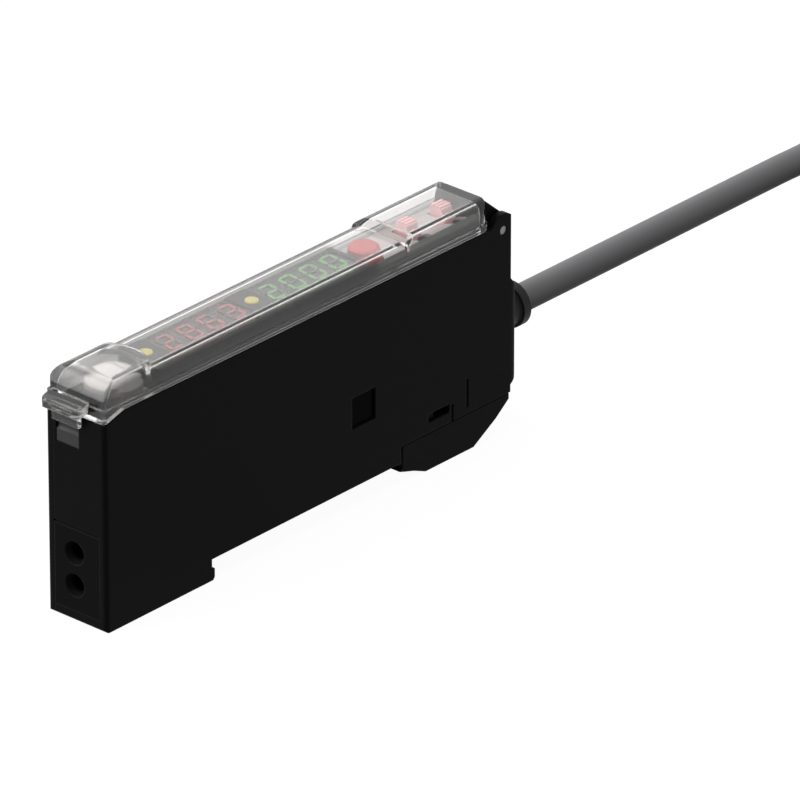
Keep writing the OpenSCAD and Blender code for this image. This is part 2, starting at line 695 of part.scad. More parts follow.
// black arm from the cover down to its barrel on the hinge pin
module hinge_arm() color([0.05, 0.05, 0.05]) {
  w = ear_y - gap;
  x1 = cover_x1;
  difference() {
    union() {
      along_y(-w, w) polygon([[x1 + 0.2, cover_z0 + 0.3], [x1 + 0.2, cover_z0 + flange_h],
        [x1, cover_z0 + flange_h], [x1, rear_top - 0.3], [hinge_x + 0.9, hinge_z + 1.9],
        [hinge_x + barrel_r, hinge_z + 0.4], [hinge_x, hinge_z - 0.6], [hinge_x - 0.9, hinge_z],
        [hinge_x - 1.3, cover_z0 + 0.3]]);
      rod_y(hinge_x, hinge_z, barrel_r, -w, w);
      arm_tongue();
    }
    rod_y(hinge_x, hinge_z, hinge_r + 0.05, -hw, hw);
  }
}

module hinge_pin() color([0.75, 0.75, 0.76]) rod_y(hinge_x, hinge_z, hinge_r, -hw + 0.1, hw - 0.1);

module rail_latch() color([0.06, 0.06, 0.06]) {
  x = latch_x;
  b = latch_end;
  union() {
    along_y(-hw + 0.1, hw - 0.1) polygon([[x - 0.6, notch_h - 1.2], [x + 0.3, notch_h - 1.5],
      [x + 2.1, 0.95], [x + 4.4, 0],
      [b - 6.8, 0], [b - 5.6, 0.7], [b - 2.5, 2.5], [b, 4.4], [b, latch_h], [x, latch_h], [x, notch_h - 0.9]]);
    box(tongue_x0, tongue_x1, -tongue_w, tongue_w, latch_h - 0.2, neck_top + gap + 0.1);
    box(tongue_x0, tongue_x1, -head_w, head_w, neck_top + gap, head_top - gap);
    box(lug_x, lug_x + lug_l, -hw + 0.4, -head_w + 0.1, neck_top + 0.5, neck_top + 1.4);
  }
}

// coil spring behind the latch head
module latch_spring() color([0.75, 0.76, 0.77]) {
  turns = 4;
  steps = 14 * turns;
  wire = 0.15;
  x0 = tongue_x1 + wire;
  run = slot_x1 - x0 - wire;
  zc = (neck_top + head_top) / 2;
  pts = [for (i = [0 : steps]) for (k = [0 : 5])
    [x0 + run * i / steps + wire * sin(60 * k), (0.6 + wire * cos(60 * k)) * cos(360 * turns * i / steps),
      zc + (0.6 + wire * cos(60 * k)) * sin(360 * turns * i / steps)]];
  sides = [for (i = [0 : steps - 1]) for (k = [0 : 5])
    [6 * i + k, 6 * i + (k + 1) % 6, 6 * i + 6 + (k + 1) % 6, 6 * i + 6 + k]];
  ends = [[for (k = [5 : -1 : 0]) k], [for (k = [0 : 5]) 6 * steps + k]];
  polyhedron(points = pts, faces = concat(sides, ends), convexity = 6);
}

// dark window seated in the side wall, with a rim behind it
module link_window() {
  g = 0.05;
  box(window_x + g, window_x + window_s - g, -hw + 0.3, -iw + 0.1, window_z + g, window_z + window_s - g);
  box(window_x - 0.5, window_x + window_s + 0.5, -iw, -iw + 0.6, window_z - 0.5, window_z + window_s + 0.5);
}

module link_window_near() color([0.12, 0.04, 0.05]) link_window();
module link_window_far() color([0.12, 0.04, 0.05]) mirror([0, 1, 0]) link_window();

module cable_gland() color([0.05, 0.05, 0.05]) {
  r = gland_d / 2;
  e = body_l + boss_l;
  difference() {
    union() {
      rod_x(body_l - 2.6, body_l - 1.4, 0, cable_z, min(r + 0.3, iw - 0.2));
      rod_x(body_l - 1.5, e + 0.1, 0, cable_z, r - 0.5);
      rod_x(e, e + 1.4, 0, cable_z, r);
      rod_x(e + 1.3, gland_end - 1.2, 0, cable_z, r - 0.45);
      rod_x(gland_end - 1.3, gland_end, 0, cable_z, r);
    }
    rod_x(body_l - 3, gland_end + 1, 0, cable_z, cable_r + 0.05);
  }
}

module core_wires() color([0.5, 0.3, 0.15]) for (i = [-1.5 : 1 : 1.5])
  rod_x(body_l - core_l - 2.45, body_l - 2.45, board_y1 + core_r + 0.02, cable_z + 0.85 * i, core_r);

module cable_run() color([0.25, 0.25, 0.26]) tube(route, cable_r);

// oblong outline of the coil
function half_turn(x, r, a) = [for (i = [0 : 16])
  [x + r * cos(a + 180 * i / 16), coil_y + r * sin(a + 180 * i / 16)]];
function oblong(r) = concat(half_turn(coil_x, r, 90), half_turn(coil_x + coil_s, r, 270));

module cable_coil() color([0.25, 0.25, 0.26]) translate([0, 0, tie_t]) linear_extrude(height = coil_h)
 difference() {
  polygon(oblong(coil_out + cable_r));
  polygon(oblong(coil_in - cable_r));
}

// two ties, one around each long side of the coil
module coil_tie() color([0.1, 0.1, 0.1]) {
  w = coil_out - coil_in + cable_d;
  x = coil_x + 0.62 * coil_s;
  for (s = [0, 1]) mirror([0, s, 0])
    translate([0, s == 0 ? coil_y + coil_in - cable_r : -coil_y + coil_in - cable_r, 0])
    difference() {
      box(x, x + 3, -tie_t, w + tie_t, 0, coil_top + tie_t);
      box(x - 1, x + 4, 0, w, tie_t, coil_top);
    }
}

module cable_tail() color([0.25, 0.25, 0.26]) tube(tail, cable_r);

// stripped lead of the cable, one of four
module lead(i) {
  e = tail[len(tail) - 1];
  y = e[1] + lead_in_y[i];
  z = e[2] + lead_in_z[i];
  tube([[e[0], y, z], [e[0] + lead_l / 4, y, z], [e[0] + 0.8 * lead_l, e[1] + lead_out_y[i], lead_r + 0.05],
    [e[0] + lead_l, e[1] + lead_out_y[i], lead_r + 0.05]], lead_r);
}

module lead_tip(i) {
  e = tail[len(tail) - 1];
  rod_x(e[0] + lead_l, e[0] + lead_l + tip_l, e[1] + lead_out_y[i], lead_r + 0.05, tip_r);
}

module brown_lead() color([0.35, 0.2, 0.1]) lead(0);
module blue_lead() color([0.1, 0.25, 0.7]) lead(1);
module black_lead() color([0.05, 0.05, 0.05]) lead(2);
module white_lead() color([0.9, 0.9, 0.9]) lead(3);
module lead_tips() color([0.75, 0.5, 0.3]) for (i = [0 : 3]) lead_tip(i);

place() {
  housing();
  side_cover();
  port_block();
  optic_holder();
  emitter();
  receiver();
  receiver_shield();
  clamp_lever();
  lever_pin();
  clamp_jaw();
  jaw_pin();
  main_board();
  processor();
  regulator();
  capacitors();
  output_transistor();
  board_header();
  display_board();
  red_display();
  red_digits();
  green_display();
  green_digits();
  output_lamp();
  channel_lamp();
  top_panel();
  control_plate();
  set_switch();
  set_button();
  polarity_switch();
  polarity_knob();
  mode_switch();
  mode_knob();
  dust_cover();
  cover_catch();
  hinge_arm();
  hinge_pin();
  rail_latch();
  latch_spring();
  link_window_near();
  link_window_far();
  cable_gland();
  core_wires();
  cable_run();
  cable_coil();
  coil_tie();
  cable_tail();
  brown_lead();
  blue_lead();
  black_lead();
  white_lead();
  lead_tips();
}
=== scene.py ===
import json
import math
import bpy
import numpy as np
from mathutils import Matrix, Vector


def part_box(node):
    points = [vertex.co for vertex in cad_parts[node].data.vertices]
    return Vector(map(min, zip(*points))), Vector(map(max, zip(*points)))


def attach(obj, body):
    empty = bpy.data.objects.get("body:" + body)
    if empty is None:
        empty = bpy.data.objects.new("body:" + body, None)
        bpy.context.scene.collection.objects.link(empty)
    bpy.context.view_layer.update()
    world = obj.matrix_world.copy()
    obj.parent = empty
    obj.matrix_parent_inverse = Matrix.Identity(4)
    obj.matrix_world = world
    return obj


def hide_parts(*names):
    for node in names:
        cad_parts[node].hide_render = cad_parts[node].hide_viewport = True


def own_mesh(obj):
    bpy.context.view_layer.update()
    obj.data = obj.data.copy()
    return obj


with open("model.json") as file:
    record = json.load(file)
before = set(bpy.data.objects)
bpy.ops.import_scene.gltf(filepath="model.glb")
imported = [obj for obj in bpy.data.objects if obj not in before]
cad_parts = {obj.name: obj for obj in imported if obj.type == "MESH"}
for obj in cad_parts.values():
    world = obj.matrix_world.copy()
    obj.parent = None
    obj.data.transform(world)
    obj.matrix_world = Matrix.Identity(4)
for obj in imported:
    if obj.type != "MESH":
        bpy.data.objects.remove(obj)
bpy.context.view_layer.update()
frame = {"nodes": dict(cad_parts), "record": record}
nodes = frame["nodes"]
print("frame loaded:", len(nodes), "nodes")

mm = 0.001
portFace = np.array([39.8, 0.0, 0.0])  # mm from the port face on to the row's origin


def toRow(points):  # millimetres from the port face to metres in the row
    return (np.asarray(points, float) - portFace) * mm


def linked(obj):
    bpy.context.scene.collection.objects.link(obj)
    return obj


# camera at the photograph's angle
cameraSettings = {
    "aim": (60.154, 0.0, 8.344),  # mm from the port face
    "azimuth": -138.164,
    "elevation": 26.734,
    "distance": 1.5,
    "lens": 529.2,
    "sensor": 36.0,
    "clip": (0.01, 20.0),
}


def setCamera(s):
    # place = aim + distance * unit vector at the two angles, looking back at the aim
    az, el = math.radians(s["azimuth"]), math.radians(s["elevation"])
    out = Vector((math.cos(el) * math.cos(az), math.cos(el) * math.sin(az), math.sin(el)))
    data = bpy.data.cameras.new("viewCamera")
    data.lens, data.sensor_width = s["lens"], s["sensor"]
    data.clip_start, data.clip_end = s["clip"]
    cam = linked(bpy.data.objects.new("viewCamera", data))
    cam.location = Vector(toRow(s["aim"])) + s["distance"] * out
    cam.rotation_euler = out.to_track_quat("Z", "Y").to_euler()
    bpy.context.scene.camera = cam


setCamera(cameraSettings)
bpy.context.scene.view_settings.view_transform = "Standard"
print("camera set")


def makePiece(name, verts, faces, uv=None, smooth=True):
    mesh = bpy.data.meshes.new(name)
    mesh.from_pydata(np.asarray(verts).tolist(), [], [list(map(int, f)) for f in faces])
    if uv is not None:
        layer = mesh.uv_layers.new(name="surface")
        layer.data.foreach_set("uv", np.asarray(uv, np.float32).ravel())
    mesh.polygons.foreach_set("use_smooth", np.full(len(mesh.polygons), smooth))
    mesh.update()
    return linked(bpy.data.objects.new(name, mesh))


def gridFaces(rows, cols, wrapRows=False):
    # quads between neighbouring rows and columns: the last column is joined to the first, and the
    # last row on request
    i, j = np.meshgrid(np.arange(rows if wrapRows else rows - 1), np.arange(cols), indexing="ij")
    i, j = i.ravel(), j.ravel()
    k, m = (j + 1) % cols, (i + 1) % rows
    quads = np.stack([i * cols + j, i * cols + k, m * cols + k, m * cols + j], 1)
    steps = ((0, 0), (1, 0), (1, 1), (0, 1))
    corners = np.stack([np.stack([j + a, i + b], 1) for a, b in steps], 1)
    return quads, corners


def endCaps(rows, sides):  # a flat face on a tube's first ring and one on its last
    return [list(range(sides - 1, -1, -1)), list(range((rows - 1) * sides, rows * sides))]


def throughPoints(points, steps):
    # one smooth curve: each span is a cubic whose end slopes are half the chord of the
    # neighbouring points
    p = np.asarray(points, float)
    slopes = np.gradient(p, axis=0)
    t = np.linspace(0, 1, steps, endpoint=False)[None, :, None]
    a, b, sa, sb = p[:-1, None], p[1:, None], slopes[:-1, None], slopes[1:, None]
    ends = (2 * t**3 - 3 * t**2 + 1) * a + (3 * t**2 - 2 * t**3) * b
    spans = ends + (t**3 - 2 * t**2 + t) * sa + (t**3 - t**2) * sb
    return np.vstack([spans.reshape(-1, 3), p[-1:]])


def evenly(points, step):
    # the same line again, with points a fixed distance apart along it
    run = np.concatenate([[0], np.cumsum(np.linalg.norm(np.diff(points, axis=0), axis=1))])
    at = np.linspace(0, run[-1], int(run[-1] / step) + 1)
    return np.stack([np.interp(at, run, points[:, k]) for k in range(3)], 1), at


def tubeGrid(path, radius, sides):
    # point(i, a) = path(i) + radius * (cos a * sideways + sin a * upwards), square to the path
    along = np.gradient(path, axis=0)
    along /= np.linalg.norm(along, axis=1)[:, None]
    side = np.cross(along, [0, 0, 1.0])
    side /= np.linalg.norm(side, axis=1)[:, None]
    lift = np.cross(side, along)
    a = np.linspace(0, 2 * np.pi, sides, endpoint=False)[None, :, None]
    return path[:, None] + radius * (np.cos(a) * side[:, None] + np.sin(a) * lift[:, None])


def closedTube(path, radius, sides):  # a tube with a flat cap at each end
    grid = tubeGrid(path, radius, sides)
    return grid.reshape(-1, 3), list(gridFaces(len(path), sides)[0]) + endCaps(len(path), sides)


# cable: out of the gland, along to the coil, twelve turns in three columns, stripped end
cableSettings = {
    "diameter": 3.8,
    "length": 2.0,
    "start": 75.0,  # inside the gland
    "gland": (82.0, 0.0, 14.24),
    "route": [(82, 0, 14.24), (96, 0, 14.24), (110, 0, 14.24), (124, 0, 14.24), (134, 0, 14.24),
              (142, 0, 14.24), (146, 0.5, 15.0), (151, 2.4, 16.9)],
    "coilX": 162.0,
    "coilY": -14.0,
    "straight": 31.4,
    "columns": [19.0, 15.2, 11.4],  # radius of each column of turns
    "turns": 4,
    "low": 2.7,
    "pitch": 3.8,
    "tail": [(166, -3.2, 2.7), (170, -4.4, 2.7), (174, -5.8, 2.5), (177, -6.6, 2.3),
             (180, -6.9, 2.2)],
    "sides": 14,
    "step": 1.2,
    "perTurn": 120,  # points in one turn, before the even steps
    "perSpan": (24, 16),  # points between two of the route's places, and of the tail's
}


def coilPath(s):
    # turn u of an oblong: straight, half circle, straight, half circle; the height falls or rises
    # one pitch a turn, and on the first straight of each column the radius eases from the last
    # column's to its own
    count = len(s["columns"])
    total = s["turns"] * count
    u = np.linspace(0, total, total * s["perTurn"], endpoint=False)
    column = np.minimum((u / s["turns"]).astype(int), count - 1)
    radii = np.asarray(s["columns"], float)
    own, before = radii[column], radii[np.maximum(column - 1, 0)]
    long = s["straight"]
    turnLength = 2 * np.pi * own + 2 * long
    within = u - s["turns"] * column
    run = (within % 1.0) * turnLength
    ease = np.clip(within * turnLength / long, 0, 1)
    ease = ease * ease * (3 - 2 * ease)
    r = before + (own - before) * ease
    arc = np.pi * own
    parts = [run < long, run < long + arc, run < 2 * long + arc]
    a1, a2 = (run - long) / own, (run - 2 * long - arc) / own
    x0, x1, yc = s["coilX"], s["coilX"] + long, s["coilY"]
    back = x1 - (run - long - arc)
    x = np.select(parts, [x0 + run, x1 + r * np.sin(a1), back], x0 - r * np.sin(a2))
    y = np.select(parts, [yc + r, yc + r * np.cos(a1), yc - r], yc - r * np.cos(a2))
    rise = s["pitch"] * within
    top = s["low"] + s["pitch"] * s["turns"]
    z = np.where(column % 2 == 0, top - rise, s["low"] + rise)
    return np.stack([x, y, z], 1)


def makeCable(s):
    # a circle carried along the line through the gland, the route, the coil and the tail
    coil = coilPath(s)
    start = (s["start"], 0, s["gland"][2])
    lead = throughPoints([start] + s["route"] + [tuple(coil[0])], s["perSpan"][0])[:-1]
    end = throughPoints([tuple(coil[-1])] + s["tail"], s["perSpan"][1])
    path, at = evenly(np.vstack([lead, coil, end]), s["step"])
    path = toRow(path)
    sides = s["sides"]
    grid = tubeGrid(path, s["diameter"] * mm / 2, sides)
    quads, corners = gridFaces(len(path), sides)
    uv = np.stack([corners[..., 0] / sides, at[corners[..., 1]] * mm], -1).reshape(-1, 2)
    uv = np.vstack([uv, np.zeros((2 * sides, 2))])
    faces = list(quads) + endCaps(len(path), sides)
    return makePiece("cableJacket", grid.reshape(-1, 3), faces, uv), path


cable, cablePath = makeCable(cableSettings)
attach(cable, "body")
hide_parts("cable_run", "cable_coil", "cable_tail")


# stripped leads, each fanning out of the cable end to the floor, with twisted strands at their tips
leadSettings = {
    "end": (180.0, -6.9, 2.2),
    "names": ["brown", "blue", "black", "white"],
    "inY": [0.64, 0.64, -0.64, -0.64],
    "inZ": [0.64, -0.64, 0.64, -0.64],
    "outY": [-0.7, -3.3, -5.9, -8.5],
    "floor": 0.55,
    "along": [-1.5, 1.5, 4.0, 8.32, 12.8, 16.0],  # past the jacket's end
    "fan": [0.0, 0.0, 0.06, 0.5, 1.0, 1.0],  # share of the way from the jacket to the floor
    "radius": 0.5,
    "sides": 12,
    "perSpan": 14,
    "step": 0.45,
}
strandSettings = {
    "tip": 4.0,
    "hidden": 1.0,  # inside the lead
    "points": 26,
    "radius": 0.105,
    "sides": 6,
    "outer": 6,  # strands round a straight one
    "layRadius": 0.21,
    "layPitch": 7.0,
    "opens": 0.3,  # over the last part of the tip, this share of it
    "turn": 0.13,  # from one lead to the next
}


def makeLead(s, k):
    # point j of the line: along(j) past the jacket's end, and fan(j) of the way to the floor
    x, y, z = s["end"]
    inside = np.array([x, y + s["inY"][k], z + s["inZ"][k]])
    outside = np.array([x, y + s["outY"][k], s["floor"]])
    points = inside + np.outer(s["fan"], outside - inside) + np.outer(s["along"], [1, 0, 0])
    path, _ = evenly(throughPoints(points, s["perSpan"]), s["step"])
    tube = closedTube(toRow(path), s["radius"] * mm, s["sides"])
    return makePiece(s["names"][k] + "Lead", *tube)


def makeStrands(lead, s):
    # strand j of a tip: a helix of small radius about the lead's line, opening a little towards
    # its end, and one straight strand in the middle
    leadEnd = lead["end"][0] + lead["along"][-1]
    x = np.linspace(leadEnd - s["hidden"], leadEnd + s["tip"], s["points"])
    share = (x - x[0]) / (x[-1] - x[0])
    spread = s["layRadius"] * (1 + np.clip(share - (1 - s["opens"]), 0, 1))
    verts, faces, count = [], [], 0
    for k, outY in enumerate(lead["outY"]):
        for j in range(s["outer"] + 1):
            r = spread if j < s["outer"] else 0.0
            a = 2 * np.pi * (j / s["outer"] + (x - x[0]) / s["layPitch"] + s["turn"] * k)
            y = lead["end"][1] + outY + r * np.cos(a)
            path = np.stack([x, y, lead["floor"] + r * np.sin(a)], 1)
            v, f = closedTube(toRow(path), s["radius"] * mm, s["sides"])
            verts.append(v)
            faces += [[int(i) + count for i in face] for face in f]
            count += len(v)
    return makePiece("leadStrands", np.vstack(verts), faces)


leads = [makeLead(leadSettings, k) for k in range(len(leadSettings["names"]))]
strands = makeStrands(leadSettings, strandSettings)
for piece, name in zip(leads, leadSettings["names"]):
    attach(piece, "body")
    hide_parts(name + "_lead")
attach(strands, "body")
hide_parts("lead_tips")


# ties round both long sides of the coil: a strap, a ratchet head on top, the cut end through it
tieSettings = {
    "x": 182.97,
    "width": 3.0,
    "thick": 0.8,
    "corner": 2.1,
    "perCorner": 8,
    "sides": [(-4.5, 6.9), (-34.9, -23.5)],  # across, from one face of the bundle to the other
    "z": (0.8, 19.8),
    "edge": (0.25, 0.05),  # rounding of the strap's edge, across and down
    "edgeFrom": 0.45,  # share of the thickness below the rounding
    "head": (4.6, 4.2, 1.24),
    "headRise": 0.45,
    "cutEnd": (2.76, 3.2, 0.6),
    "cutEndRise": 0.55,
    "cutEndHidden": 0.4,  # inside the head
    "boxPower": 0.3,
    "boxGrid": (11, 32),
}


def roundedLoop(y0, y1, z0, z1, r, perCorner):
    # corners of a rectangle as quarter circles, joined by straights
    a = np.linspace(0, np.pi / 2, perCorner)
    cy = np.array([y1 - r, y0 + r, y0 + r, y1 - r])
    cz = np.array([z1 - r, z1 - r, z0 + r, z0 + r])
    turn = a[None] + np.arange(4)[:, None] * np.pi / 2
    y, z = cy[:, None] + r * np.cos(turn), cz[:, None] + r * np.sin(turn)
    out = np.stack([np.cos(turn), np.sin(turn)], -1).reshape(-1, 2)
    return np.stack([y.ravel(), z.ravel()], 1), out


def roundedBox(centre, size, power, rings, around):
    # point = half sizes * signed powers of the two angles' cosines and sines
    signed = lambda v: np.sign(v) * np.abs(v) ** power
    lat = np.linspace(-np.pi / 2, np.pi / 2, rings + 2)[1:-1]
    lon = np.linspace(0, 2 * np.pi, around, endpoint=False)
    la, lo = np.meshgrid(lat, lon, indexing="ij")
    flat = signed(np.cos(la))
    unit = np.stack([flat * signed(np.cos(lo)), flat * signed(np.sin(lo)), signed(np.sin(la))], -1)
    verts = np.asarray(centre) + unit * np.asarray(size) / 2
    return verts.reshape(-1, 3), list(gridFaces(rings, around)[0]) + endCaps(rings, around)


def makeTie(name, s, y0, y1):
    # strap: a flat profile with rounded edges carried round the loop, pushed out along the
    # loop's own normal
    half, t = s["width"] / 2, s["thick"]
    over, down = s["edge"]
    loop, out = roundedLoop(y0, y1, *s["z"], s["corner"], s["perCorner"])
    profile = np.array([[-half, 0.0], [half, 0.0], [half, s["edgeFrom"] * t],
                        [half - over, t - down], [-half + over, t - down],
                        [-half, s["edgeFrom"] * t]])
    grid = np.empty((len(loop), len(profile), 3))
    grid[..., 0] = s["x"] + profile[None, :, 0]
    grid[..., 1:] = loop[:, None] + profile[None, :, 1, None] * out[:, None]
    verts, faces = grid.reshape(-1, 3), list(gridFaces(len(loop), len(profile), True)[0])
    mid, top = 0.5 * (y0 + y1), s["z"][1]
    cutY = mid + s["head"][1] / 2 + s["cutEnd"][1] / 2 - s["cutEndHidden"]
    boxes = [((s["x"], mid, top + s["headRise"]), s["head"]),
             ((s["x"], cutY, top + s["cutEndRise"]), s["cutEnd"])]
    for centre, size in boxes:
        boxVerts, boxFaces = roundedBox(centre, size, s["boxPower"], *s["boxGrid"])
        faces += [np.asarray(face) + len(verts) for face in boxFaces]
        verts = np.vstack([verts, boxVerts])
    return makePiece(name, toRow(verts), faces, smooth=False)


ties = [makeTie("coilTie" + tag, tieSettings, *span)
        for tag, span in zip(("Inner", "Outer"), tieSettings["sides"])]
for piece in ties:
    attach(piece, "body")
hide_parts("coil_tie")

laid = np.linalg.norm(np.diff(cablePath, axis=0), axis=1).sum()
print("cable laid:", round(float(laid), 3), "m")


# digits: seven bars each, the lit ones marked in an attribute
digitSettings = {
    "rise": 31.5,  # display face
    "sunk": 0.05,
    "middle": 0.5,
    "height": 4.0,
    "width": 2.5,
    "bar": 0.5,
    "gaps": (0.36, 0.17),  # taken off half a flat bar and half an upright one
    "thick": 0.12,
    "lean": 0.12,
    "length": 15.2,
    "red": {"x": 15.8, "shows": "2863"},
    "green": {"x": 34.8, "shows": "2000"},
}
barsLit = {"0": "abcdef", "1": "bc", "2": "abdeg", "3": "abcdg", "4": "bcfg", "5": "acdfg",
           "6": "acdefg", "7": "abc", "8": "abcdefg", "9": "abcdfg"}


def makeDigits(name, s, one):
    # bar(k) = a six-sided outline turned and moved to its place, all bars as one array, leaning
    # with their height
    w, h, v = s["bar"], s["width"] / 2, s["height"] / 2
    order = "dgaefcb"
    edgeX, edgeY, midY = h - w / 2, v - w / 2, v / 2 - w / 8
    place = np.array([[0, -edgeY], [0, 0], [0, edgeY], [-edgeX, -midY], [-edgeX, midY],
                      [edgeX, -midY], [edgeX, midY]])
    flat = place[:, 0] == 0
    half = np.where(flat, h - s["gaps"][0], v / 2 - s["gaps"][1])
    ends = np.array([-1, -1, 1, 1, 1, -1], float)  # which end each point of the outline is at
    cuts = np.array([0, 1, -1, 0, -1, 1], float)  # how it is drawn in from there
    rims = np.array([0, 1, 1, 0, -1, -1], float)  # and which side it is on
    out = ends[None] * half[:, None] + cuts[None] * w / 2
    across = np.broadcast_to(rims[None] * w / 2, out.shape)
    bx = np.where(flat[:, None], out, -across) + place[:, :1]
    by = np.where(flat[:, None], across, out) + place[:, 1:]
    bx = bx + s["lean"] * by
    count = len(one["shows"])
    digitX = one["x"] + s["length"] / count * (np.arange(count) + 0.5)
    x = digitX[:, None, None] + bx[None]
    y = np.broadcast_to(s["middle"] + by[None], x.shape)
    low = np.stack([x, y, np.full(x.shape, s["rise"] - s["sunk"])], -1)
    top = np.stack([x, y, np.full(x.shape, s["rise"] + s["thick"])], -1)
    corners = len(ends)
    perBar = 2 * corners  # low and high points alternate
    verts = np.stack([low, top], 3).reshape(-1, perBar, 3)
    base = (np.arange(len(verts)) * perBar)[:, None]
    ring = np.arange(corners)
    topFaces = base + (2 * ring + 1)[::-1][None]
    lowFaces = base + (2 * ring)[None]
    nxt = (ring + 1) % corners
    wall = np.stack([2 * ring, 2 * ring + 1, 2 * nxt + 1, 2 * nxt], 1)
    walls = (base[:, :, None] + wall[None]).reshape(-1, 4)
    faces = list(topFaces) + list(lowFaces) + list(walls)
    obj = makePiece(name, toRow(verts.reshape(-1, 3)), faces, smooth=False)
    lit = np.array([[b in barsLit[d] for b in order] for d in one["shows"]], float).ravel()
    flags = obj.data.attributes.new("lit", "FLOAT", "POINT")
    flags.data.foreach_set("value", np.repeat(lit, perBar))
    return obj


redDigits = makeDigits("redFigures", digitSettings, digitSettings["red"])
greenDigits = makeDigits("greenFigures", digitSettings, digitSettings["green"])
for piece, node, slot in [(redDigits, "red_digits", "digits_red"),
                          (greenDigits, "green_digits", "digits_green")]:
    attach(piece, "body")
    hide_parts(node)
print("digits made")


# latch spring, wound inside the latch_spring box; its seat and the share of its length kept after
# the latch's travel are worked out
springSettings = {
    "turns": 4,
    "radius": 0.6,
    "wire": 0.15,
    "perTurn": 28,
    "sides": 10,
    "travel": 2.5,
}


def makeSpring(s):
    # point(t, a) = a helix about the x axis, plus the wire's own circle at angle a, turned round
    # with the helix
    low, high = (np.array(corner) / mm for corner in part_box("latch_spring"))
    count = s["turns"] * s["perTurn"] + 1
    t = np.linspace(0, 1, count)[:, None]
    a = np.linspace(0, 2 * np.pi, s["sides"], endpoint=False)[None]
    inner = high[0] - low[0] - 2 * s["wire"]
    x = low[0] + s["wire"] + inner * t + s["wire"] * np.sin(a)
    out = s["radius"] + s["wire"] * np.cos(a)
    turn = 2 * np.pi * s["turns"] * t
    middle = 0.5 * (low + high)
    grid = np.stack([x, middle[1] + out * np.cos(turn), middle[2] + out * np.sin(turn)], -1)
    faces = list(gridFaces(count, s["sides"])[0]) + endCaps(count, s["sides"])
    obj = makePiece("latchCoil", grid.reshape(-1, 3) * mm, faces)
    seat = (high[0] * mm, middle[1] * mm, middle[2] * mm)
    return obj, seat, 1 - s["travel"] / (high[0] - low[0])


spring, springSeat, springKeep = makeSpring(springSettings)
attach(spring, "body")
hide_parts("latch_spring")
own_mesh(spring)
print("spring wound")


# nodes and sockets
def newGroup(name, inputs, outputs):
    tree = bpy.data.node_groups.new(name, "ShaderNodeTree")
    for label, value in inputs.items():
        kind = "NodeSocketFloat"
        tree.interface.new_socket(label, in_out="INPUT", socket_type=kind).default_value = value
    for label, kind in outputs.items():
        tree.interface.new_socket(label, in_out="OUTPUT", socket_type=kind)
    return tree, tree.nodes.new("NodeGroupInput"), tree.nodes.new("NodeGroupOutput")


def addNode(tree, kind, **values):
    node = tree.nodes.new(kind)
    for key, value in values.items():
        setattr(node, key, value)
    return node


def setInputs(node, values):
    for key, value in values.items():
        node.inputs[key].default_value = value


def feed(tree, value, socket):  # a number or a colour is set, an output is linked
    if isinstance(value, (int, float)):
        socket.default_value = value
    elif isinstance(value, (tuple, list)):
        socket.default_value = (*value[:3], 1.0)
    else:
        tree.links.new(value, socket)


def mathNode(tree, operation, a, b, clamp=False):
    node = addNode(tree, "ShaderNodeMath", operation=operation, use_clamp=clamp)
    feed(tree, a, node.inputs[0])
    feed(tree, b, node.inputs[1])
    return node.outputs[0]


def mixColor(tree, fac, a, b):
    node = addNode(tree, "ShaderNodeMix", data_type="RGBA")
    for value, index in ((fac, 0), (a, 6), (b, 7)):  # the colour sockets of the node
        feed(tree, value, node.inputs[index])
    return node.outputs[2]


def scaleRange(tree, value, low, high, start=0.0, end=1.0):
    node = addNode(tree, "ShaderNodeMapRange")
    tree.links.new(value, node.inputs["Value"])
    setInputs(node, {"From Min": start, "From Max": end, "To Min": low, "To Max": high})
    return node.outputs["Result"]


def noiseNode(tree, where, scale, detail):
    node = addNode(tree, "ShaderNodeTexNoise")
    tree.links.new(where, node.inputs["Vector"])
    feed(tree, scale, node.inputs["Scale"])
    node.inputs["Detail"].default_value = detail
    return node.outputs["Fac"]


# shared shader groups
grainSettings = {
    "coarser": 0.22,  # scale of the coarse noise beside the fine one
    "slow": 160.0,
    "details": (3.0, 2.0, 3.0),
}
rimSettings = {
    "samples": 6,
    "gain": 4.0,
    "noise": 900.0,
    "detail": 4.0,
}


def buildGrain(s):
    # height = fine noise plus a coarser share of it; tone = slow noise over several millimetres
    tree, gin, gout = newGroup("mouldGrain", {"Scale": 4000.0, "Coarse": 0.4},
                               {"Height": "NodeSocketFloat", "Tone": "NodeSocketFloat"})
    where = addNode(tree, "ShaderNodeTexCoord").outputs["Object"]
    scale = gin.outputs["Scale"]
    scales = (scale, mathNode(tree, "MULTIPLY", scale, s["coarser"]), s["slow"])
    fine, coarse, slow = (noiseNode(tree, where, *pair) for pair in zip(scales, s["details"]))
    share = mathNode(tree, "MULTIPLY", coarse, gin.outputs["Coarse"])
    tree.links.new(mathNode(tree, "ADD", fine, share), gout.inputs["Height"])
    tree.links.new(slow, gout.inputs["Tone"])
    return tree


